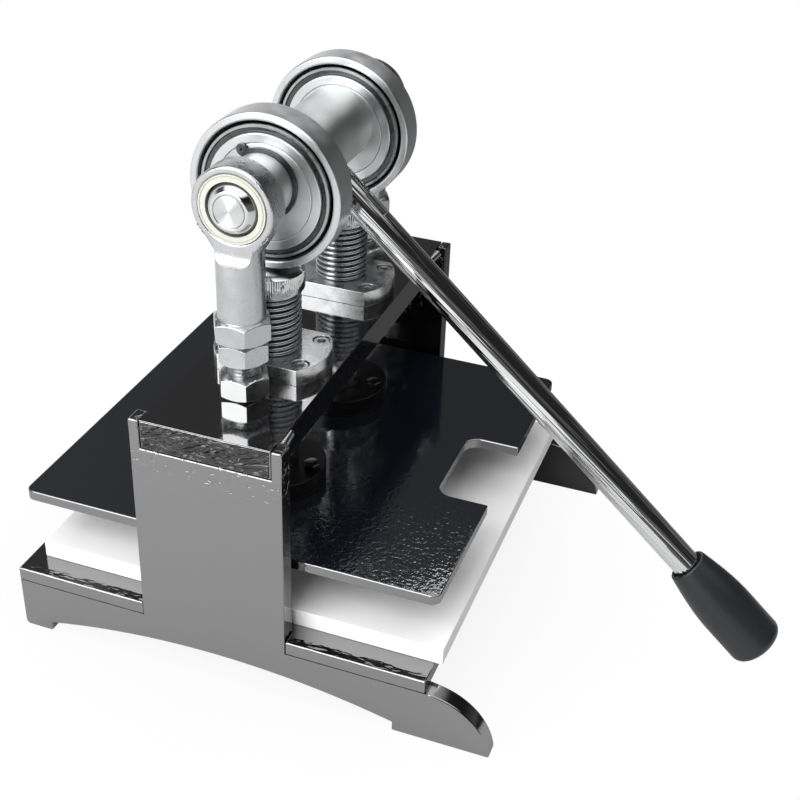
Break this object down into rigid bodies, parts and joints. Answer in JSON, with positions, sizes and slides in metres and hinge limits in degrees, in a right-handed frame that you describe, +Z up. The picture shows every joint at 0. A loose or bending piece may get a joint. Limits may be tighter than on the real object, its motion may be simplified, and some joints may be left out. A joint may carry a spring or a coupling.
{
  "type": "manual die cutting machine",
  "caption": "Hand lever bench press: eccentric ball bearings on a lever shaft push a sprung, guided platen down on a loose cutting board in a welded black frame.",
  "frame": {"origin": "centre of the whole part's footprint with the lever down, on the bench", "axes": "+X along the lever shaft to the right as the operator sees it, -Y towards the operator, +Z up"},
  "size_m": [0.256, 0.3982, 0.2925],
  "materials": {
    "black_powder_coat": "gloss black powder coat with light orange peel",
    "nickel_plated_steel": "bright nickel plate with fine scratches",
    "black_oxide_steel": "black oxide, lightly oiled",
    "ground_steel": "fine turned and ground",
    "polished_steel": "polished, bright plated",
    "bearing_steel": "fine ground, near mirror",
    "pressed_steel": "pressed sheet, satin",
    "spring_steel": "drawn wire, oiled",
    "zinc_plated_steel": "satin zinc plate, slightly cloudy",
    "chrome_plate": "bright chrome plate",
    "liner_plastic": "moulded bearing polymer, satin",
    "board_plastic": "sawn polyethylene, fine matte grain",
    "grip_plastic": "moulded, satin"
  },
  "bodies": {
    "frame": {"left_end_plate": "black_powder_coat", "right_end_plate": "black_powder_coat", "crossbar": "black_powder_coat", "base_plate": "black_powder_coat", "left_guide_bush": "nickel_plated_steel", "right_guide_bush": "nickel_plated_steel", "bush_screws": "zinc_plated_steel", "left_rod_end": "zinc_plated_steel", "right_rod_end": "zinc_plated_steel", "left_rod_end_liner": "liner_plastic", "right_rod_end_liner": "liner_plastic", "left_jam_nut": "zinc_plated_steel", "right_jam_nut": "zinc_plated_steel", "left_seat_nut": "polished_steel", "right_seat_nut": "polished_steel", "left_anchor_bolt": "zinc_plated_steel", "right_anchor_bolt": "zinc_plated_steel"},
    "platen": {"platen": "black_powder_coat", "left_guide_rod": "ground_steel", "right_guide_rod": "ground_steel", "left_foot_flange": "black_powder_coat", "right_foot_flange": "black_powder_coat", "flange_bolts": "black_oxide_steel", "left_thrust_cap": "polished_steel", "right_thrust_cap": "polished_steel", "left_return_spring": "spring_steel", "right_return_spring": "spring_steel"},
    "shaft": {"main_shaft": "ground_steel", "left_eccentric": "ground_steel", "right_eccentric": "ground_steel", "left_bearing_inner": "bearing_steel", "right_bearing_inner": "bearing_steel", "left_bearing_balls": "bearing_steel", "right_bearing_balls": "bearing_steel", "left_bearing_cage": "pressed_steel", "right_bearing_cage": "pressed_steel", "left_circlip": "black_oxide_steel", "right_circlip": "black_oxide_steel", "left_rod_end_ball": "bearing_steel", "right_rod_end_ball": "bearing_steel", "lever_rod": "chrome_plate", "lever_grip": "grip_plastic"},
    "left_bearing": {"left_bearing_outer": "bearing_steel", "left_bearing_shields": "pressed_steel"},
    "right_bearing": {"right_bearing_outer": "bearing_steel", "right_bearing_shields": "pressed_steel"},
    "board": {"cutting_board": "board_plastic"}
  },
  "joints": [
    {"name": "lever_turn", "type": "hinge", "parent": "frame", "child": "shaft", "pos_m": [0, 0.08106, 0.2575], "axis": [-1, 0, 0], "range_deg": [0, 180]},
    {"name": "platen_slide", "type": "slide", "parent": "frame", "child": "platen", "axis": [0, 0, 1], "range_m": [0, 0.0095], "deforming": ["left_return_spring", "right_return_spring"]},
    {"name": "left_bearing_spin", "type": "hinge", "parent": "shaft", "child": "left_bearing", "pos_m": [-0.047, 0.08106, 0.2525], "axis": [1, 0, 0], "continuous": true},
    {"name": "right_bearing_spin", "type": "hinge", "parent": "shaft", "child": "right_bearing", "pos_m": [0.047, 0.08106, 0.2525], "axis": [1, 0, 0], "continuous": true},
    {"name": "board_slide", "type": "slide", "parent": "frame", "child": "board", "axis": [0, -1, 0], "range_m": [-0.12, 0.07]}
  ],
  "couplings": [
    {"joint": "platen_slide", "follows": "lever_turn", "m_per_rad": 0.003}
  ]
}
